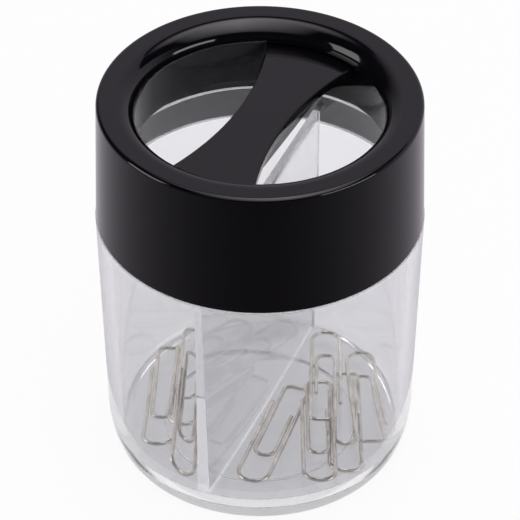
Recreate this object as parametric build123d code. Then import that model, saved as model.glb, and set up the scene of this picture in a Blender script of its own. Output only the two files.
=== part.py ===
from build123d import *

import os
from math import cos, radians, sin, sqrt

# Driving dimensions in millimetres and degrees.
# The origin is under the middle of the base, +Z is up, and the divider stands in the plane x = 0.

# Tumbler: a clear moulded tub with a neck that carries the lid
shoulder_height = 52.2
tumbler_taper = 1.75
base_curve_width = 3.9
base_curve_height = 10.8
standing_ring = 6.55
floor_height = 5.8
wall_at_floor = 2.25
floor_corner = 0.5
recess_depth = 1.4
neck_height = 6.8
neck_wall = 0.8
neck_clearance = 0.15
ledge_width = 0.1
rim_round = 0.25

# Divider: a drafted upright plate between the two compartments
divider_top_thickness = 1.1
divider_foot_thickness = 2.2
divider_drop = 3.0
divider_corner = 1.2
divider_clearance = 0.05

# Lid shell: collar, flat top ring and the rounded lip of the throat
lid_height = 24.8
lid_foot_radius = 29.75
lid_taper = 0.55
lid_edge_round = 0.8
lid_foot_round = 0.25
socket_wall = 0.95
lead_in_width = 0.5
lead_in_height = 0.8
seat_step = 0.8
top_thickness = 1.8
top_ring = 3.3
lip_round = 3.6

# Throat insert: a sleeve set back behind the lip, with a flange that closes the magnet in
sleeve_setback = 1.0
sleeve_wall = 1.2
insert_depth = 13.0
flange_thickness = 1.3
insert_clearance = 0.1

# Bridge: hourglass plate with a straight web under its middle line
bridge_drop = 4.25
bridge_waist = 9.7
bridge_side_radius = 58.4
bridge_thickness = 1.8
bridge_edge_round = 0.35
web_thickness = 1.6
web_drop = 2.0
bridge_clearance = 0.05
lid_turn = -3.2

# Ring magnet
magnet_height = 7.5
magnet_clearance = 0.15

# Paper clips: bent round wire, a wide round end and a narrow squared end
clip_length = 28.0
clip_width = 6.4
clip_wire = 0.75
leg_gap = 0.25
inner_loop_setback = 7.4
outer_leg_stop = 5.0
inner_leg_stop = 8.0
narrow_end_corner = 1.3
round_end_flat = 0.3
pile_gap = 0.2
floor_gap = 0.1

# Gaps that the clips leave at the divider and at the wall
beside = 0.5
aside = 1.4
touching = 0.15
close = 0.4
near = 0.8
apart = 1.6
far = 4.3

# Heights and radii that the pieces share
lid_top = shoulder_height + lid_height
rim_height = shoulder_height + neck_height
shoulder_radius = lid_foot_radius + ledge_width
foot_radius = shoulder_radius - tumbler_taper
outer_draft = (shoulder_radius - foot_radius) / shoulder_height
base_curve_radius = foot_radius + outer_draft * base_curve_height
flat_radius = base_curve_radius - base_curve_width
recess_radius = flat_radius - standing_ring
lid_top_radius = lid_foot_radius - lid_taper
throat_radius = lid_top_radius - top_ring - lip_round
socket_radius = lid_foot_radius - socket_wall
neck_radius = socket_radius - neck_clearance
bore_radius = neck_radius - neck_wall
floor_radius = foot_radius + outer_draft * floor_height - wall_at_floor
inner_draft = (bore_radius - floor_radius) / (shoulder_height - floor_height)
divider_top = rim_height - divider_drop
lip_foot = lid_top - lip_round
insert_foot = lid_top - insert_depth
web_foot = insert_foot - web_drop
seat_height = insert_foot + flange_thickness
upper_bore_radius = socket_radius - seat_step
sleeve_bore_radius = throat_radius + sleeve_setback
sleeve_radius = sleeve_bore_radius + sleeve_wall
bridge_top = lid_top - bridge_drop
bridge_foot = bridge_top - bridge_thickness


def rounded(face, corner, radius):
    """Rounds the corner of a flat outline that lies nearest to the given point."""
    nearest = face.vertices().sort_by_distance(Vector(*corner))[0]
    return fillet(nearest, radius)


def turned(face):
    """Revolves an outline of radius and height about the upright axis."""
    return revolve(Plane.XZ * face, axis=Axis.Z)


def ring(inner_radius, outer_radius, foot, top):
    """A plain ring between two radii and two heights."""
    corners = [(inner_radius, foot), (outer_radius, foot), (outer_radius, top), (inner_radius, top)]
    return turned(make_face(Polyline(*corners, close=True)))


def cavity(gap, top):
    """The space inside the tumbler, drawn in from its wall by a gap and closed at the given height."""
    foot_corner = (floor_radius - gap, floor_height)
    neck_bore = bore_radius - gap
    corners = [(0, floor_height), foot_corner, (neck_bore, shoulder_height), (neck_bore, top), (0, top)]
    return turned(rounded(make_face(Polyline(*corners, close=True)), foot_corner, floor_corner))


def make_tumbler():
    """Drafted tub on a quarter-ellipse base curve, with an underside recess and a straight neck."""
    underside = [
        (0, rim_height),
        (0, recess_depth),
        (recess_radius, recess_depth),
        (recess_radius, 0),
        (flat_radius, 0),
    ]
    side = [
        (base_curve_radius, base_curve_height),
        (shoulder_radius, shoulder_height),
        (neck_radius, shoulder_height),
        (neck_radius, rim_height),
        (0, rim_height),
    ]
    curve_centre = (flat_radius, base_curve_height)
    base_curve = EllipticalCenterArc(curve_centre, base_curve_width, base_curve_height, 270, arc_size=90)
    outside = turned(make_face([Polyline(*underside), base_curve, Polyline(*side)]))
    tub = outside - cavity(0, rim_height)
    rim_edges = tub.edges().filter_by(GeomType.CIRCLE).group_by(Axis.Z)[-1]
    return fillet(rim_edges, rim_round)


def make_divider():
    """Plate that thins upwards, trimmed to the inside of the tumbler, with rounded top corners."""
    half_foot = divider_foot_thickness / 2
    half_top = divider_top_thickness / 2
    section = [
        (-half_foot, floor_height),
        (half_foot, floor_height),
        (half_top, divider_top),
        (-half_top, divider_top),
    ]
    slab = extrude(Plane.XZ * make_face(Polyline(*section, close=True)), amount=bore_radius, both=True)
    half_span = bore_radius - divider_clearance
    front = [
        (-half_span, floor_height),
        (half_span, floor_height),
        (half_span, divider_top),
        (-half_span, divider_top),
    ]
    outline = make_face(Polyline(*front, close=True))
    for side in (-half_span, half_span):
        outline = rounded(outline, (side, divider_top), divider_corner)
    door = extrude(Plane.YZ * outline, amount=divider_foot_thickness, both=True)
    return slab & door & cavity(divider_clearance, rim_height)


def make_lid_shell():
    """Collar with a lead-in at its foot, flat top ring, and a lip that rolls into the throat."""
    lip_centre = (throat_radius + lip_round, lip_foot)
    ceiling = lid_top - top_thickness
    lip_inside = lip_round - top_thickness
    lead_in_radius = socket_radius + lead_in_width
    lead_in_top = shoulder_height + lead_in_height
    outline = [
        Line((lid_foot_radius, shoulder_height), (lid_top_radius, lid_top)),
        Line((lid_top_radius, lid_top), (lip_centre[0], lid_top)),
        CenterArc(lip_centre, lip_round, 90, 90),
        Line((throat_radius, lip_foot), (throat_radius + top_thickness, lip_foot)),
        CenterArc(lip_centre, lip_inside, 180, -90),
        Line((lip_centre[0], ceiling), (upper_bore_radius, ceiling)),
        Line((upper_bore_radius, ceiling), (upper_bore_radius, seat_height)),
        Line((upper_bore_radius, seat_height), (socket_radius, seat_height)),
        Line((socket_radius, seat_height), (socket_radius, lead_in_top)),
        Line((socket_radius, lead_in_top), (lead_in_radius, shoulder_height)),
        Line((lead_in_radius, shoulder_height), (lid_foot_radius, shoulder_height)),
    ]
    face = rounded(make_face(outline), (lid_top_radius, lid_top), lid_edge_round)
    return turned(rounded(face, (lid_foot_radius, shoulder_height), lid_foot_round))


def make_throat_insert():
    """Sleeve under the lip, with a flange at its foot that stops against the collar's inner step."""
    sleeve = ring(sleeve_bore_radius, sleeve_radius, insert_foot, lip_foot)
    flange = ring(sleeve_bore_radius, socket_radius - insert_clearance, insert_foot, seat_height)
    return sleeve + flange


def make_bridge():
    """Hourglass plate across the sleeve, with a web under it that reaches a little below the insert."""
    end_radius = sleeve_bore_radius - bridge_clearance
    side_centre = bridge_waist / 2 + bridge_side_radius
    hourglass = Circle(end_radius)
    for side in (-side_centre, side_centre):
        hourglass -= Pos(side, 0) * Circle(bridge_side_radius)
    plate = Pos(0, 0, bridge_foot) * extrude(hourglass, amount=bridge_thickness)
    side_edges = plate.edges().group_by(Axis.Z)[-1].sort_by_distance((0, 0, bridge_top))[:2]
    plate = fillet(side_edges, bridge_edge_round)
    web_plan = Rectangle(web_thickness, 2 * end_radius) & Circle(end_radius)
    web = Pos(0, 0, web_foot) * extrude(web_plan, amount=bridge_foot - web_foot)
    return Rot(0, 0, lid_turn) * (plate + web)


def make_ring_magnet():
    """Ring that stands on the flange, between the sleeve and the collar."""
    inner = sleeve_radius + magnet_clearance
    outer = upper_bore_radius - magnet_clearance
    return ring(inner, outer, seat_height, seat_height + magnet_height)


def clip_path():
    """Middle line of the wire: round end towards -Y, narrow end towards +Y, one loop inside the other."""
    reach = (clip_length - clip_wire) / 2
    outer = (clip_width - clip_wire) / 2
    inner = outer - clip_wire - leg_gap
    inner_end = inner_loop_setback - reach
    corners = [
        (-outer, reach - outer_leg_stop),
        (-outer, -reach),
        (outer, -reach),
        (outer, reach),
        (-inner, reach),
        (-inner, inner_end),
        (inner, inner_end),
        (inner, reach - inner_leg_stop),
    ]
    round_end = outer - round_end_flat / 2
    inner_loop = inner - round_end_flat / 2
    radii = [round_end, round_end, narrow_end_corner, narrow_end_corner, inner_loop, inner_loop]
    return FilletPolyline(*corners, radius=radii)


def seat_clip(path, divider_gap, bearing, heading, pitch, roll, layer, wall_gap):
    """Tilts a clip, lifts it to its layer, and pushes it along a bearing until the gap to the wall is left.

    A clip with a divider gap starts with its left side that far from it, and any other on the axis.
    A point p of the tilted wire reaches a wall of radius R after sqrt(R^2 - side^2) - ahead, where ahead
    and side are its distances along and across the bearing. The nearest such point stops the clip.
    """
    wire = Rot(0, 0, heading) * Rot(pitch, 0, 0) * Rot(0, roll, 0) * path
    box = wire.bounding_box()
    middle = floor_height + floor_gap + clip_wire / 2 + layer * (clip_wire + pile_gap)
    start = 0
    if divider_gap:
        start = divider_foot_thickness / 2 + divider_gap + clip_wire / 2 - box.min.X
    wire = Pos(start, 0, middle - box.min.Z) * wire
    out_x = cos(radians(bearing))
    out_y = sin(radians(bearing))
    samples = 200
    pushes = []
    for index in range(samples + 1):
        point = wire @ (index / samples)
        wall = floor_radius + inner_draft * (point.Z - floor_height) - clip_wire / 2 - wall_gap
        ahead = point.X * out_x + point.Y * out_y
        side = point.Y * out_x - point.X * out_y
        pushes.append(sqrt(wall**2 - side**2) - ahead)
    wire = Pos(min(pushes) * out_x, min(pushes) * out_y, 0) * wire
    section = Plane(origin=wire @ 0, z_dir=wire % 0) * Circle(clip_wire / 2)
    return sweep(section, path=wire)


# Each clip: node, gap at the divider or none, bearing, heading, pitch, roll, layer, gap at the wall.
# A heading of 0 points the narrow end along +Y, a positive pitch lifts it, and roll tips the clip on edge.
clip_places = [
    ("right_clip_1", beside, -90, 4, 0, 0, 0, far),
    ("right_clip_2", None, 5, 20, 0, 0, 0, near),
    ("right_clip_3", None, -16, 22, 0, 0, 1, near),
    ("right_clip_4", None, 22, 204, 4, 0, 1, touching),
    ("right_clip_5", aside, 90, 200, 4, 0, 1, apart),
    ("left_clip_1", None, 195, 22, 0, 0, 0, close),
    ("left_clip_2", None, 232, 20, 12, 48, 0, close),
    ("left_clip_3", None, 176, 20, 0, 0, 1, near),
]

nodes = {
    "tumbler": make_tumbler(),
    "divider": make_divider(),
    "lid_shell": make_lid_shell(),
    "throat_insert": make_throat_insert(),
    "bridge": make_bridge(),
    "ring_magnet": make_ring_magnet(),
}
for node, *place in clip_places:
    nodes[node] = seat_clip(clip_path(), *place)

os.makedirs("parts", exist_ok=True)
for node, shape in nodes.items():
    export_step(shape, f"parts/{node}.step")
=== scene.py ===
import bmesh
import bpy
import numpy as np
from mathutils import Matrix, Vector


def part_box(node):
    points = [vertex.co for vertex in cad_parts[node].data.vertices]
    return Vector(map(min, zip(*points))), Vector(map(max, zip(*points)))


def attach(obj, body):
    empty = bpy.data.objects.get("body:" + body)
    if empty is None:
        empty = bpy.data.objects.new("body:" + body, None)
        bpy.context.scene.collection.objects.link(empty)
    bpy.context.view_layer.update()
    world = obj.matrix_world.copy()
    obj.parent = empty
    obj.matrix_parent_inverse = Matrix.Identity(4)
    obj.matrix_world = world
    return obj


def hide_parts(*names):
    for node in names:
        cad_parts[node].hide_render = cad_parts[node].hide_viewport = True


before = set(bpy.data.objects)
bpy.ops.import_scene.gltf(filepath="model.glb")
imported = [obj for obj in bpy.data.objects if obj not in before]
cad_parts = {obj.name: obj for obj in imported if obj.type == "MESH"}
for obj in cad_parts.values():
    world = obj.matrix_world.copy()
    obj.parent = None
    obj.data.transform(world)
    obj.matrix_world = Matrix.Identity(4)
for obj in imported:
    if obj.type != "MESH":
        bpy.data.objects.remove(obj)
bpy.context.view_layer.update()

# Tumbler
# The tub is moulded in clear polystyrene in a polished mould: a thick drafted wall that curves in to a
# round standing ring with a shallow recess, and a stepped-in neck that the lid grips.
mm = 0.001
tub_high = np.array(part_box("tumbler"))[1] / mm
divider_low, divider_high = np.array(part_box("divider")) / mm
lid_low, lid_high = np.array(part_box("lid_shell")) / mm
rim_height = tub_high[2]
shoulder_radius = tub_high[0]
shoulder_height = lid_low[2]
foot_radius = 28.1
base_curve_width = 3.9
base_curve_height = 10.8
recess_radius = 18.0
recess_depth = 1.4
recess_corner = 0.25
standing_edge = 0.25
neck_radius = 28.65
bore_radius = 27.85
edge_break = 0.2
rim_round = 0.3
floor_height = divider_low[2]
floor_wall = 2.25
floor_fillet = 0.5
floor_radius = np.interp(floor_height, [0, shoulder_height], [foot_radius, shoulder_radius]) - floor_wall
outer_draft = (shoulder_radius - foot_radius) / shoulder_height
flat_radius = foot_radius + outer_draft * base_curve_height - base_curve_width
full_turn = np.linspace(0, 2 * np.pi, 193)
plastic_colour = "#F4F4F6"


def rounded(corners, arc_steps=10, margin=0.25):
    """Outline through corners given as (across, up, radius), as points in order.

    A corner turns into an arc tangent to both its sides: with the angle a between the sides, the arc
    starts radius / tan(a / 2) from the corner and its centre lies radius / sin(a / 2) along the bisector.
    Long straight runs get a point at the margin from both ends, which keeps their shading straight.
    """
    places = np.array([corner[:2] for corner in corners], float)
    radii = [corner[2] for corner in corners]
    bits = [places[:1]]
    for before, place, after, radius in zip(places, places[1:], places[2:], radii[1:]):
        back = (before - place) / np.linalg.norm(before - place)
        ahead = (after - place) / np.linalg.norm(after - place)
        half = np.arccos(np.clip(back @ ahead, -1, 1)) / 2
        if radius == 0:
            bits.append(place[None])
            continue
        bisector = (back + ahead) / np.linalg.norm(back + ahead)
        centre = place + bisector * radius / np.sin(half)
        first = place + back * radius / np.tan(half) - centre
        last = place + ahead * radius / np.tan(half) - centre
        turn = np.pi - 2 * half
        share = np.linspace(0, 1, arc_steps + 1)[:, None]
        swing = first * np.sin((1 - share) * turn) + last * np.sin(share * turn)
        bits.append(centre + swing / np.sin(turn))
    bits.append(places[-1:])
    points = np.concatenate(bits)
    step = np.diff(points, axis=0)
    length = np.linalg.norm(step, axis=1, keepdims=True)
    inset = np.where(length > 4 * margin, margin / np.maximum(length, margin), 0)
    runs = np.stack([points[:-1], points[:-1] + step * inset, points[1:] - step * inset], axis=1)
    points = np.concatenate([runs.reshape(-1, 2), points[-1:]])
    keep = np.append(np.linalg.norm(np.diff(points, axis=0), axis=1) > 1e-9, True)
    return points[keep]


def turned(outline, angles):
    """Grid of an outline of (radius, height) carried round the upright axis through the given angles."""
    radius, height = outline[:, :1], outline[:, 1:]
    return np.stack(np.broadcast_arrays(radius * np.cos(angles), radius * np.sin(angles), height), axis=-1)


def skin(name, grids, sharp_angle=35):
    """One object from grids of points in millimetres.

    Each square of four neighbours in a grid is a face. Grids that share an edge are welded along it, which
    also closes seams and poles, and edges that turn by more than the sharp angle stay crisp.
    """
    starts = np.cumsum([0] + [grid.shape[0] * grid.shape[1] for grid in grids])
    faces = []
    for grid, start in zip(grids, starts):
        index = start + np.arange(grid.shape[0] * grid.shape[1]).reshape(grid.shape[:2])
        squares = np.stack([index[:-1, :-1], index[1:, :-1], index[1:, 1:], index[:-1, 1:]], axis=-1)
        faces.append(squares.reshape(-1, 4))
    points = np.concatenate([grid.reshape(-1, 3) for grid in grids]) * mm
    mesh = bpy.data.meshes.new(name)
    mesh.from_pydata(points.tolist(), [], np.concatenate(faces).tolist())
    shell = bmesh.new()
    shell.from_mesh(mesh)
    bmesh.ops.remove_doubles(shell, verts=shell.verts, dist=0.001 * mm)
    bmesh.ops.recalc_face_normals(shell, faces=shell.faces)
    shell.to_mesh(mesh)
    shell.free()
    mesh.shade_smooth()
    mesh.set_sharp_from_angle(angle=np.radians(sharp_angle))
    piece = bpy.data.objects.new(name, mesh)
    bpy.context.collection.objects.link(piece)
    return piece


def linear(hex_colour):
    """Linear red, green, blue and alpha of an sRGB hex colour."""
    srgb = np.array([int(hex_colour[i:i + 2], 16) for i in (1, 3, 5)]) / 255
    return (*np.where(srgb <= 0.04045, srgb / 12.92, ((srgb + 0.055) / 1.055) ** 2.4), 1.0)


def add(tree, kind, inputs=None, **settings):
    """Adds a node with its settings. An input that is a socket is linked, and any other value is set."""
    node = tree.nodes.new(kind)
    for name, value in settings.items():
        setattr(node, name, value)
    for name, value in (inputs or {}).items():
        if isinstance(value, bpy.types.NodeSocket):
            tree.links.new(value, node.inputs[name])
        else:
            node.inputs[name].default_value = value
    return node


def blank_material(name):
    """New material and its node tree, emptied."""
    material = bpy.data.materials.new(name)
    material.use_nodes = True
    material.node_tree.nodes.clear()
    return material, material.node_tree


def clear_polystyrene():
    """Clear polystyrene from a polished mould: a bright, slightly cool plastic with a high index.

    Slow ripples from moulding bend what is seen through it, and fine handling haze varies its gloss. Light
    from the lamps passes straight through it, which keeps its shadow pale.
    """
    ripple_size, haze_size = 9 * mm, 2.5 * mm
    material, tree = blank_material("clear_polystyrene")
    place = add(tree, "ShaderNodeTexCoord").outputs["Object"]
    ripple = add(tree, "ShaderNodeTexNoise", {"Vector": place, "Scale": 1 / ripple_size, "Detail": 1.0})
    bump = add(tree, "ShaderNodeBump", {
        "Height": ripple.outputs["Fac"], "Strength": 0.5, "Distance": 0.01 * mm,
    })
    haze = add(tree, "ShaderNodeTexNoise", {"Vector": place, "Scale": 1 / haze_size, "Detail": 3.0})
    rough = add(tree, "ShaderNodeMapRange", {
        "Value": haze.outputs["Fac"], "From Min": 0.3, "From Max": 0.7, "To Min": 0.0, "To Max": 0.05,
    })
    plastic = add(tree, "ShaderNodeBsdfPrincipled", {
        "Base Color": linear(plastic_colour),
        "Roughness": rough.outputs["Result"],
        "IOR": 1.59,
        "Transmission Weight": 1.0,
        "Normal": bump.outputs["Normal"],
    })
    lamp_light = add(tree, "ShaderNodeBsdfTransparent", {"Color": linear(plastic_colour)})
    path = add(tree, "ShaderNodeLightPath")
    shader = add(tree, "ShaderNodeMixShader", {
        0: path.outputs["Is Shadow Ray"], 1: plastic.outputs["BSDF"], 2: lamp_light.outputs["BSDF"],
    })
    add(tree, "ShaderNodeOutputMaterial", {"Surface": shader.outputs["Shader"]})
    return material


base_turn = np.linspace(0, np.pi / 2, 25)
base_curve_r = flat_radius + base_curve_width * np.sin(base_turn)
base_curve_z = base_curve_height * (1 - np.cos(base_turn))
tub_outline = rounded([
    (0, recess_depth, 0),
    (recess_radius, recess_depth, recess_corner),
    (recess_radius, 0, standing_edge),
    *zip(base_curve_r, base_curve_z, 0 * base_turn),
    (shoulder_radius, shoulder_height, edge_break),
    (neck_radius, shoulder_height, edge_break),
    (neck_radius, rim_height, rim_round),
    (bore_radius, rim_height, rim_round),
    (bore_radius, shoulder_height, 0),
    (floor_radius, floor_height, floor_fillet),
    (0, floor_height, 0),
])
clear_plastic = clear_polystyrene()
tub = skin("clear_tub", [turned(tub_outline, full_turn)])
tub.data.materials.append(clear_plastic)
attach(tub, "tub")
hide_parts("tumbler")

# Divider
# A separate clear plate that stands across the tub and thins towards its rounded top edge. It is trimmed to
# the inside of the wall with a hair of air left round it, which shows as a light line at its foot and ends.
divider_top = divider_high[2]
divider_foot_half = divider_high[0]
divider_top_half = 0.55
divider_corner = 1.2
divider_edge = 0.2
divider_gap = 0.05


def wall_radius(height):
    """Radius inside the tub: the floor's fillet, a cone up to the shoulder, then the straight neck."""
    below = np.clip((floor_height + floor_fillet - height) / floor_fillet, 0, 1)
    cone = np.interp(height, [floor_height, shoulder_height], [floor_radius, bore_radius])
    return cone - floor_fillet * (1 - np.sqrt(1 - below**2))


def divider_half(height):
    """Half the divider's thickness, which thins evenly from its foot to its top."""
    return np.interp(height, [floor_height, divider_top], [divider_foot_half, divider_top_half])


def plate(across, along, height):
    """Points of the plate: x is across times the half thickness, y is along times the wall's half chord."""
    x = across * divider_half(height)
    y = along * np.sqrt((wall_radius(height) - divider_gap) ** 2 - x**2)
    return np.stack(np.broadcast_arrays(x, y, height), axis=-1)


def divider_grids():
    """Grids of the divider as one closed skin: two faces, two ends, the foot and the rounded crest.

    The crest is level along the middle and turns down at each end in a quarter circle. Across, it is half
    an ellipse that flattens out towards the ends.
    """
    spread = np.linspace(-1, 1, 121)
    along = np.sin(spread * np.pi / 2)
    lean = np.sin(np.linspace(-np.pi / 2, np.pi / 2, 9))[:, None]
    reach = bore_radius - divider_gap
    overhang = np.maximum(0, np.abs(along) * reach - (reach - divider_corner))
    crest = divider_top - divider_corner + np.sqrt(np.maximum(0, divider_corner**2 - overhang**2))
    face_top = crest - divider_edge * (1 - spread**6)
    foot = np.full_like(face_top, floor_height + divider_gap)
    share = np.sin(np.linspace(0, np.pi / 2, 40))[:, None]
    height = face_top * (1 - share) + foot * share
    top = plate(lean, along, face_top)
    top[..., 2] += (crest - face_top) * np.sqrt(1 - lean**2)
    faces = [plate(side, along, height) for side in (-1, 1)]
    ends = [plate(lean.T, along[end], height[:, end][:, None]) for end in (0, -1)]
    return [*faces, *ends, plate(lean, along, foot), top]


divider = skin("divider_plate", divider_grids())
divider.data.materials.append(clear_plastic)
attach(divider, "tub")
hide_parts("divider")

# Paper clips
# Each is one length of nickel-plated steel wire, cut square and bent into a wide round outer loop and a
# shorter inner one. They lie loose on the floor of the tub, some on top of others and one on its edge.
clip_length = 28.0
clip_width = 6.4
clip_wire = 0.75
leg_gap = 0.25
inner_loop_setback = 7.4
outer_leg_stop = 5.0
inner_leg_stop = 8.0
narrow_end_corner = 1.3
round_end_flat = 0.3
wire_end_round = 0.12
wire_dull, wire_bright = "#978F87", "#F8F3EB"
# Heading, pitch and roll of each clip in degrees. Its place comes from its solid's box.
clip_tilts = {
    "right_clip_1": (4, 0, 0),
    "right_clip_2": (20, 0, 0),
    "right_clip_3": (22, 0, 0),
    "right_clip_4": (204, 4, 0),
    "right_clip_5": (200, 4, 0),
    "left_clip_1": (22, 0, 0),
    "left_clip_2": (20, 12, 48),
    "left_clip_3": (20, 0, 0),
}


def clip_line():
    """Middle line of the flat clip's wire, its round end towards -Y and its narrow end towards +Y."""
    reach = (clip_length - clip_wire) / 2
    outer = (clip_width - clip_wire) / 2
    inner = outer - clip_wire - leg_gap
    inner_end = inner_loop_setback - reach
    round_end = outer - round_end_flat / 2
    inner_loop = inner - round_end_flat / 2
    return rounded([
        (-outer, reach - outer_leg_stop, 0),
        (-outer, -reach, round_end),
        (outer, -reach, round_end),
        (outer, reach, narrow_end_corner),
        (-inner, reach, narrow_end_corner),
        (-inner, inner_end, inner_loop),
        (inner, inner_end, inner_loop),
        (inner, reach - inner_leg_stop, 0),
    ], arc_steps=14)


def wire_grid(line, radius, end_round, sides=20):
    """Grid of a round wire along a flat line: rings square to the line, closed and rounded at both ends.

    A ring is radius * (cos a * side + sin a * up), where side is the line's direction turned by 90 degrees.
    """
    ahead = np.gradient(line, axis=0)
    ahead /= np.linalg.norm(ahead, axis=1, keepdims=True)
    turn = np.linspace(0, np.pi / 2, 5)[:, None]
    cap_size = np.concatenate([[[0]], radius - end_round + end_round * np.sin(turn)])
    cap_shift = np.concatenate([[[0]], end_round * (1 - np.cos(turn))])
    first = line[0] + cap_shift * ahead[0]
    last = line[-1] - cap_shift[::-1] * ahead[-1]
    middle = np.concatenate([first, line[1:-1], last])
    size = np.concatenate([cap_size, np.full((len(line) - 2, 1), radius), cap_size[::-1]])
    ends = len(cap_size)
    ahead = np.concatenate([np.repeat(ahead[:1], ends, 0), ahead[1:-1], np.repeat(ahead[-1:], ends, 0)])
    around = np.linspace(0, 2 * np.pi, sides + 1)
    x = middle[:, :1] - ahead[:, 1:] * size * np.cos(around)
    y = middle[:, 1:] + ahead[:, :1] * size * np.cos(around)
    return np.stack([x, y, size * np.sin(around)], axis=-1)


def tilt(heading, pitch, roll):
    """Matrix that rolls about Y, then pitches about X, then turns about Z, in degrees."""
    c, s = np.cos(np.radians([heading, pitch, roll])), np.sin(np.radians([heading, pitch, roll]))
    about_z = np.array([[c[0], -s[0], 0], [s[0], c[0], 0], [0, 0, 1]])
    about_x = np.array([[1, 0, 0], [0, c[1], -s[1]], [0, s[1], c[1]]])
    about_y = np.array([[c[2], 0, s[2]], [0, 1, 0], [-s[2], 0, c[2]]])
    return about_z @ about_x @ about_y


def nickel_wire():
    """Nickel plate on drawn steel wire: a warm, bright metal with dull patches and faint drawing marks.

    The marks are coarser than real ones, so that they show.
    """
    patch_size, mark_size = 3 * mm, 0.35 * mm
    material, tree = blank_material("nickel_plated_wire")
    place = add(tree, "ShaderNodeTexCoord").outputs["Object"]
    patches = add(tree, "ShaderNodeTexNoise", {"Vector": place, "Scale": 1 / patch_size, "Detail": 2.0})
    marks = add(tree, "ShaderNodeTexNoise", {"Vector": place, "Scale": 1 / mark_size, "Detail": 2.0})
    colour = add(tree, "ShaderNodeMix", {
        "Factor": patches.outputs["Fac"], 6: linear(wire_dull), 7: linear(wire_bright),
    }, data_type="RGBA")
    rough = add(tree, "ShaderNodeMapRange", {
        "Value": patches.outputs["Fac"], "From Min": 0.3, "From Max": 0.7, "To Min": 0.04, "To Max": 0.1,
    })
    bump = add(tree, "ShaderNodeBump", {
        "Height": marks.outputs["Fac"], "Strength": 0.3, "Distance": 0.01 * mm,
    })
    metal = add(tree, "ShaderNodeBsdfPrincipled", {
        "Base Color": colour.outputs[2],
        "Metallic": 1.0,
        "Roughness": rough.outputs["Result"],
        "Normal": bump.outputs["Normal"],
    })
    add(tree, "ShaderNodeOutputMaterial", {"Surface": metal.outputs["BSDF"]})
    return material


wire_finish = nickel_wire()
flat_clip = wire_grid(clip_line(), clip_wire / 2, wire_end_round)
for node, angles in clip_tilts.items():
    clip = flat_clip @ tilt(*angles).T
    low, high = np.array(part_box(node)) / mm
    clip_low, clip_high = clip.min(axis=(0, 1)), clip.max(axis=(0, 1))
    clip += (low + high) / 2 - (clip_low + clip_high) / 2
    piece = skin("wire_" + node, [clip])
    piece.data.materials.append(wire_finish)
    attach(piece, node.split("_")[0] + "_clips")
    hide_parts(node)

# Lid shell
# A glossy black moulding: a tall plain collar that grips the neck, a flat ring on top, and a lip that rolls
# down into the throat. An inner step stops the insert, which closes the magnet in behind the lip.
lid_top = lid_high[2]
lid_foot_radius = 29.75
lid_top_radius = 29.2
lid_edge_round = 0.8
lid_foot_round = 0.25
socket_radius = 28.8
lead_in_width = 0.5
lead_in_height = 0.8
upper_bore_radius = 28.0
seat_height = 65.3
top_thickness = 1.8
throat_radius = 22.3
lip_round = 3.6
lip_foot = lid_top - lip_round
lid_gloss = 0.5


def black_plastic(name, specular):
    """Moulded black plastic: nearly black and glossy, with a faint orange peel and dust-dulled spots."""
    peel_size, haze_size = 1.6 * mm, 5 * mm
    material, tree = blank_material(name)
    place = add(tree, "ShaderNodeTexCoord").outputs["Object"]
    peel = add(tree, "ShaderNodeTexNoise", {"Vector": place, "Scale": 1 / peel_size, "Detail": 2.0})
    bump = add(tree, "ShaderNodeBump", {
        "Height": peel.outputs["Fac"], "Strength": 0.25, "Distance": 0.01 * mm,
    })
    haze = add(tree, "ShaderNodeTexNoise", {"Vector": place, "Scale": 1 / haze_size, "Detail": 4.0})
    rough = add(tree, "ShaderNodeMapRange", {
        "Value": haze.outputs["Fac"], "From Min": 0.3, "From Max": 0.7, "To Min": 0.06, "To Max": 0.11,
    })
    plastic = add(tree, "ShaderNodeBsdfPrincipled", {
        "Base Color": linear("#060508"),
        "Roughness": rough.outputs["Result"],
        "IOR": 1.5,
        "Specular IOR Level": specular,
        "Normal": bump.outputs["Normal"],
    })
    add(tree, "ShaderNodeOutputMaterial", {"Surface": plastic.outputs["BSDF"]})
    return material


lid_outline = rounded([
    (socket_radius, seat_height, 0),
    (socket_radius, shoulder_height + lead_in_height, 0),
    (socket_radius + lead_in_width, shoulder_height, 0),
    (lid_foot_radius, shoulder_height, lid_foot_round),
    (lid_top_radius, lid_top, lid_edge_round),
    (throat_radius, lid_top, lip_round),
    (throat_radius, lip_foot, edge_break),
    (throat_radius + top_thickness, lip_foot, 0),
    (throat_radius + top_thickness, lid_top - top_thickness, lip_round - top_thickness),
    (upper_bore_radius, lid_top - top_thickness, 0),
    (upper_bore_radius, seat_height, 0),
    (socket_radius, seat_height, 0),
], arc_steps=16)
gloss_black = black_plastic("black_gloss_plastic", lid_gloss)
lid_shell = skin("lid_shell_moulding", [turned(lid_outline, full_turn)])
lid_shell.data.materials.append(gloss_black)
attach(lid_shell, "lid")
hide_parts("lid_shell")

# Ring magnet
# A pressed ring of bonded ferrite, dropped into the lid behind the lip. Only the flange below holds it, and
# it is closed in on all sides, so it keeps its plain pressed shape.


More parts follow.
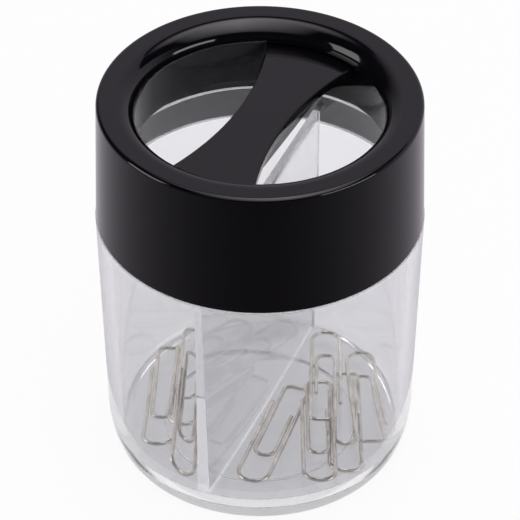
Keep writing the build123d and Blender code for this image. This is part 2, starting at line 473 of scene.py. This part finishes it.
def bonded_ferrite():
    """Pressed ferrite powder in a binder: matt dark grey with a speckle of grains.

    The grains are coarser than real ones, so that they show.
    """
    grain_size = 0.4 * mm
    material, tree = blank_material("bonded_ferrite")
    place = add(tree, "ShaderNodeTexCoord").outputs["Object"]
    grains = add(tree, "ShaderNodeTexNoise", {"Vector": place, "Scale": 1 / grain_size, "Detail": 3.0})
    colour = add(tree, "ShaderNodeMix", {
        "Factor": grains.outputs["Fac"], 6: linear("#2B2B2D"), 7: linear("#47474B"),
    }, data_type="RGBA")
    bump = add(tree, "ShaderNodeBump", {
        "Height": grains.outputs["Fac"], "Strength": 0.5, "Distance": 0.03 * mm,
    })
    powder = add(tree, "ShaderNodeBsdfPrincipled", {
        "Base Color": colour.outputs[2],
        "Roughness": 0.75,
        "Normal": bump.outputs["Normal"],
    })
    add(tree, "ShaderNodeOutputMaterial", {"Surface": powder.outputs["BSDF"]})
    return material


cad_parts["ring_magnet"].data.materials.clear()
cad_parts["ring_magnet"].data.materials.append(bonded_ferrite())

# Throat insert
# A black moulded sleeve pressed up into the lid from below. Its flange stops against the step in the collar
# and carries the magnet, and its bore stands back a little behind the lip and is duller than the lid.
insert_low, insert_high = np.array(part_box("throat_insert")) / mm
insert_foot = insert_low[2]
flange_radius = insert_high[0]
sleeve_bore_radius = 23.3
sleeve_radius = 24.5
sleeve_gloss = 0.2
insert_outline = rounded([
    (sleeve_bore_radius, lip_foot, 0),
    (sleeve_bore_radius, insert_foot, edge_break),
    (flange_radius, insert_foot, edge_break),
    (flange_radius, seat_height, 0),
    (sleeve_radius, seat_height, 0),
    (sleeve_radius, lip_foot, 0),
    (sleeve_bore_radius, lip_foot, 0),
])
insert = skin("throat_sleeve_moulding", [turned(insert_outline, full_turn)])
insert.data.materials.append(black_plastic("black_inner_plastic", sleeve_gloss))
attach(insert, "lid")
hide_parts("throat_insert")

# Bridge
# A black hourglass plate across the throat, set a little below the lid's top, with a straight web under its
# middle line that splits the mouth over the divider. Its ends seat against the sleeve.
bridge_low, bridge_high = np.array(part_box("bridge")) / mm
bridge_top = bridge_high[2]
bridge_thickness = 1.8
bridge_foot = bridge_top - bridge_thickness
bridge_end_radius = 23.25
bridge_waist_half = 4.85
bridge_side_radius = 58.4
bridge_edge_round = 0.35
web_foot = bridge_low[2]
web_half = 0.8
lid_turn = -3.2


def bar_grids(half_width, foot, top, edge_round):
    """Grids of a bar along Y that ends on the round sleeve, with a rounded rectangle as its section.

    half_width gives the half width at each y. The section's corners keep their round while the flats
    stretch to that width. Each line of the bar runs to where x^2 + y^2 meets the end radius squared, which
    is found by putting the last y back in a few times.
    """
    narrow = half_width(0.0)
    middle = (foot + top) / 2
    section = rounded([
        (narrow, middle, 0),
        (narrow, top, edge_round),
        (0, top, 0),
        (-narrow, top, edge_round),
        (-narrow, foot, edge_round),
        (0, foot, 0),
        (narrow, foot, edge_round),
        (narrow, middle, 0),
    ])
    flat = np.clip(section[:, :1], edge_round - narrow, narrow - edge_round)
    corner = section[:, :1] - flat

    def stretched(y):
        """Across place of the section's points at each y."""
        return flat * (half_width(y) - edge_round) / (narrow - edge_round) + corner

    end = np.full_like(flat, bridge_end_radius)
    for _ in range(6):
        end = np.sqrt(bridge_end_radius**2 - stretched(end) ** 2)
    along = np.sin(np.linspace(-np.pi / 2, np.pi / 2, 81))
    y = end * along
    side = np.stack(np.broadcast_arrays(stretched(y), y, section[:, 1:]), axis=-1)
    caps = []
    for column in (0, -1):
        hub = np.zeros_like(side[:, column])
        hub[:, 1] = np.sign(along[column]) * bridge_end_radius
        hub[:, 2] = middle
        caps.append(np.stack([side[:, column], hub], axis=1))
    return [side, *caps]


def hourglass_half(y):
    """Half width of the hourglass: its sides are arcs that bow in towards the middle."""
    return bridge_waist_half + bridge_side_radius - np.sqrt(bridge_side_radius**2 - y**2)


def web_width(y):
    """Half width of the straight web, the same all along."""
    return web_half + 0 * y


bridge_turn = tilt(lid_turn, 0, 0)
plate_grids = bar_grids(hourglass_half, bridge_foot, bridge_top, bridge_edge_round)
web_grids = bar_grids(web_width, web_foot, bridge_foot, edge_break)
bridge = skin("bridge_moulding", [grid @ bridge_turn.T for grid in plate_grids + web_grids])
bridge.data.materials.append(gloss_black)
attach(bridge, "lid")
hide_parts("bridge")

# Floor
# A wide pale tabletop sheet. The camera sees it nearly white, with a little of its shading kept so that the
# holder's shadow stays on it. Mirrors and clear plastic see more of its shading.
floor_size = 6000.0
floor_drop = 0.02
camera_white = 0.92
mirrored_white = 0.4


def background_rays(tree):
    """Sockets that are 1 for rays from the camera, and for all rays that show the background.

    These come from the camera, from a mirror or out of clear plastic.
    """
    path = add(tree, "ShaderNodeLightPath").outputs
    seen = add(tree, "ShaderNodeMath", {
        0: path["Is Camera Ray"], 1: path["Is Glossy Ray"],
    }, operation="MAXIMUM")
    seen = add(tree, "ShaderNodeMath", {
        0: seen.outputs[0], 1: path["Is Transmission Ray"],
    }, operation="MAXIMUM")
    return path["Is Camera Ray"], seen.outputs[0]


def white_sheet():
    """Plain white studio sheet: matt for light that falls on it, mostly even white where it is seen."""
    material, tree = blank_material("white_studio_sheet")
    from_camera, seen = background_rays(tree)
    evenness = add(tree, "ShaderNodeMapRange", {
        "Value": from_camera, "To Min": mirrored_white, "To Max": camera_white,
    })
    share = add(tree, "ShaderNodeMath", {0: seen, 1: evenness.outputs["Result"]}, operation="MULTIPLY")
    matt = add(tree, "ShaderNodeBsdfDiffuse", {"Color": linear("#F4F4F4")})
    white = add(tree, "ShaderNodeEmission", {"Color": linear("#FFFFFF"), "Strength": 1.0})
    shader = add(tree, "ShaderNodeMixShader", {
        0: share.outputs[0], 1: matt.outputs["BSDF"], 2: white.outputs["Emission"],
    })
    add(tree, "ShaderNodeOutputMaterial", {"Surface": shader.outputs["Shader"]})
    return material


floor_line = np.linspace(-floor_size / 2, floor_size / 2, 3)
floor_x, floor_y = np.meshgrid(floor_line, floor_line, indexing="ij")
floor = skin("floor", [np.stack([floor_x, floor_y, np.full_like(floor_x, -floor_drop)], axis=-1)])
floor.data.materials.append(white_sheet())

# Lights
# Soft studio light: a soft box at each side and a long diffuser overhead, inside a tent that only mirrors
# see. The tent is dark in front and grey behind on the right, which gives the black lid its depth.
view_azimuth = 22.4
middle_height = 40.4
target = np.array([0, 0, middle_height])


def direction(azimuth, elevation):
    """Unit vector towards a place seen at an azimuth, with 0 at -Y and 90 at +X, and an elevation."""
    a, e = np.radians(azimuth), np.radians(elevation)
    return np.array([np.sin(a) * np.cos(e), -np.cos(a) * np.cos(e), np.sin(e)])


def aim(thing, place, target):
    """Puts a lamp or camera at a place in millimetres, looking at the target with its top upwards."""
    back = (place - target) / np.linalg.norm(place - target)
    right = np.cross([0, 0, 1], back)
    matrix = np.eye(4)
    matrix[:3, 0] = right / np.linalg.norm(right)
    matrix[:3, 1] = np.cross(back, matrix[:3, 0])
    matrix[:3, 2] = back
    matrix[:3, 3] = place * mm
    thing.matrix_world = matrix.T.tolist()


# Azimuth from the camera and elevation in degrees, distance, width and height in millimetres, and watts
soft_boxes = {
    "left": (-78, 18, 900, 440, 420, 1.7),
    "right": (58, 9, 900, 620, 200, 1.6),
}
for name, (azimuth, elevation, distance, width, height, watts) in soft_boxes.items():
    lamp = bpy.data.lights.new(name + "_soft_box", "AREA")
    lamp.shape = "RECTANGLE"
    lamp.size, lamp.size_y = width * mm, height * mm
    lamp.energy = watts
    box = bpy.data.objects.new(lamp.name, lamp)
    bpy.context.collection.objects.link(box)
    aim(box, target + distance * direction(view_azimuth + azimuth, elevation), target)

panel_height = 980.0
panel_azimuth = 10
panel_near, panel_far = -580.0, 2170.0
panel_reach = 2000.0
panel_middle = 120.0
panel_half, panel_flare = 570.0, 0.75
panel_level = 3.33
panel_fall = 1.5
panel_near_edge = 0.55
panel_tint = "#FDF8FF"


def panel_cloth(ahead, aside):
    """Lit diffuser cloth, brightest above the lid, that dims towards its far end and its sides.

    With u along the panel and w across it, its level is panel_level times (1 - u / panel_far) ** panel_fall
    times 1 - |w - panel_middle| / (panel_half + panel_flare * u). It falls off just before its near end.
    """
    material, tree = blank_material("lit_diffuser")
    place = add(tree, "ShaderNodeTexCoord").outputs["Object"]
    along = add(tree, "ShaderNodeVectorMath", {0: place, 1: tuple(ahead)}, operation="DOT_PRODUCT")
    across = add(tree, "ShaderNodeVectorMath", {0: place, 1: tuple(aside)}, operation="DOT_PRODUCT")
    u, w = along.outputs["Value"], across.outputs["Value"]
    left_over = add(tree, "ShaderNodeMapRange", {
        "Value": u, "From Max": panel_far * mm, "To Min": 1.0, "To Max": 0.0,
    })
    ahead_share = add(tree, "ShaderNodeMath", {
        0: left_over.outputs["Result"], 1: panel_fall,
    }, operation="POWER")
    off_middle = add(tree, "ShaderNodeMath", {0: w, 1: panel_middle * mm}, operation="SUBTRACT")
    off_middle = add(tree, "ShaderNodeMath", {0: off_middle.outputs[0]}, operation="ABSOLUTE")
    in_front = add(tree, "ShaderNodeMath", {0: u, 1: 0.0}, operation="MAXIMUM")
    half_width = add(tree, "ShaderNodeMath", {
        0: in_front.outputs[0], 1: panel_flare, 2: panel_half * mm,
    }, operation="MULTIPLY_ADD")
    side_turn = add(tree, "ShaderNodeMath", {
        0: off_middle.outputs[0], 1: half_width.outputs[0],
    }, operation="DIVIDE")
    side_share = add(tree, "ShaderNodeMapRange", {
        "Value": side_turn.outputs[0], "To Min": 1.0, "To Max": 0.0,
    })
    near_share = add(tree, "ShaderNodeMapRange", {
        "Value": u, "From Min": panel_near * mm, "From Max": panel_near_edge * panel_near * mm,
    })
    share = add(tree, "ShaderNodeMath", {
        0: ahead_share.outputs[0], 1: side_share.outputs["Result"],
    }, operation="MULTIPLY")
    share = add(tree, "ShaderNodeMath", {
        0: share.outputs[0], 1: near_share.outputs["Result"],
    }, operation="MULTIPLY")
    level = add(tree, "ShaderNodeMath", {0: share.outputs[0], 1: panel_level}, operation="MULTIPLY")
    cloth = add(tree, "ShaderNodeEmission", {"Color": linear(panel_tint), "Strength": level.outputs[0]})
    add(tree, "ShaderNodeOutputMaterial", {"Surface": cloth.outputs["Emission"]})
    return material


panel_ahead = direction(view_azimuth + panel_azimuth, 0)
panel_aside = direction(view_azimuth + panel_azimuth + 90, 0)
panel_lengths = np.array([panel_near, 0, panel_far])[:, None, None]
panel_widths = np.array([-panel_reach, 0, panel_reach])[None, :, None]
panel_grid = panel_lengths * panel_ahead + panel_widths * panel_aside + [0, 0, panel_height]
panel = skin("overhead_panel", [panel_grid])
panel.data.materials.append(panel_cloth(panel_ahead, panel_aside))
panel.visible_camera = False
panel.visible_transmission = False
panel.visible_shadow = False

tent_gap = 36.0
tent_radius = 1500.0
tent_height = 1750.0
tent_tint = "#FBF4FF"


def tent_cloth(name, azimuth, dark, pale, start, end):
    """Studio cloth graded round the tent, from dark to pale as it turns towards an azimuth.

    The grade follows the cosine of the turn from that azimuth, between its start and end values.
    """
    material, tree = blank_material(name)
    place = add(tree, "ShaderNodeTexCoord").outputs["Object"]
    flat = add(tree, "ShaderNodeVectorMath", {0: place, 1: (1.0, 1.0, 0.0)}, operation="MULTIPLY")
    flat = add(tree, "ShaderNodeVectorMath", {0: flat.outputs["Vector"]}, operation="NORMALIZE")
    turn = add(tree, "ShaderNodeVectorMath", {
        0: flat.outputs["Vector"], 1: tuple(direction(view_azimuth + azimuth, 0)),
    }, operation="DOT_PRODUCT")
    grey = add(tree, "ShaderNodeMapRange", {
        "Value": turn.outputs["Value"], "From Min": start, "From Max": end, "To Min": dark, "To Max": pale,
    })
    cloth = add(tree, "ShaderNodeEmission", {
        "Color": linear(tent_tint), "Strength": grey.outputs["Result"],
    })
    add(tree, "ShaderNodeOutputMaterial", {"Surface": cloth.outputs["Emission"]})
    return material


# Outline of radius and height, then the palest azimuth, the dark and pale levels, and the cosines at which
# the grade starts and ends
tent_pieces = {
    "tent_floor": ([(tent_gap, floor_drop), (tent_radius, floor_drop)], (180, 0.064, 0.742, -1.0, 1.0)),
    "tent_wall": ([(tent_radius, floor_drop), (tent_radius, tent_height)], (150, 0.011, 0.498, 0.17, 0.75)),
    "tent_roof": ([(tent_radius, tent_height), (0, tent_height)], (0, 0.011, 0.011, -1.0, 1.0)),
}
for name, (outline, grade) in tent_pieces.items():
    tent = skin(name, [turned(np.array(outline), full_turn)])
    tent.data.materials.append(tent_cloth(name + "_cloth", *grade))
    tent.visible_camera = False
    tent.visible_diffuse = False
    tent.visible_transmission = False
    tent.visible_shadow = False

# Room
# A pale room that lights the holder evenly from all round. It is white where it is seen, but dimmer in
# front for light that leaves the clear plastic that way, which gives the wire of the clips its dark edges.
room_light = 0.75
front_light = 0.18
front_start, front_end = -0.3, 0.5
clear_bounces = 96


def pale_room():
    """World that gives room_light to things, and shows mirrors and clear plastic a level of their own.

    That level falls from 1 to front_light with the cosine of the turn towards the front, between front_start
    and front_end. The camera itself always sees 1.
    """
    room = bpy.data.worlds.new("pale_room")
    room.use_nodes = True
    tree = room.node_tree
    tree.nodes.clear()
    from_camera, seen = background_rays(tree)
    way = add(tree, "ShaderNodeTexCoord").outputs["Generated"]
    front = add(tree, "ShaderNodeVectorMath", {
        0: way, 1: tuple(direction(view_azimuth, 0)),
    }, operation="DOT_PRODUCT")
    dimmed = add(tree, "ShaderNodeMapRange", {
        "Value": front.outputs["Value"],
        "From Min": front_start,
        "From Max": front_end,
        "To Min": 1.0,
        "To Max": front_light,
    })
    white = add(tree, "ShaderNodeMath", {0: dimmed.outputs["Result"], 1: from_camera}, operation="MAXIMUM")
    level = add(tree, "ShaderNodeMapRange", {
        "Value": seen, "To Min": room_light, "To Max": white.outputs[0],
    })
    walls = add(tree, "ShaderNodeBackground", {
        "Color": linear("#FFFFFF"), "Strength": level.outputs["Result"],
    })
    add(tree, "ShaderNodeOutputWorld", {"Surface": walls.outputs["Background"]})
    return room


bpy.context.scene.world = pale_room()
# Light turns many times inside the clear plate before it leaves
bpy.context.scene.cycles.max_bounces = clear_bounces
bpy.context.scene.cycles.glossy_bounces = clear_bounces
bpy.context.scene.cycles.transmission_bounces = clear_bounces

# Camera
# A long lens from above the front right, at the angle of the photograph. It is aimed just above the middle
# of the holder and has no shift.
view_elevation = 38.8
view_distance = 734.0
lens_length = 277.5
camera_data = bpy.data.cameras.new("camera")
camera_data.sensor_width = 36.0
camera_data.lens = lens_length
camera_data.clip_start = 0.05
camera = bpy.data.objects.new("camera", camera_data)
bpy.context.collection.objects.link(camera)
aim(camera, target + view_distance * direction(view_azimuth, view_elevation), target)
bpy.context.scene.camera = camera
bpy.context.scene.view_settings.view_transform = "Standard"
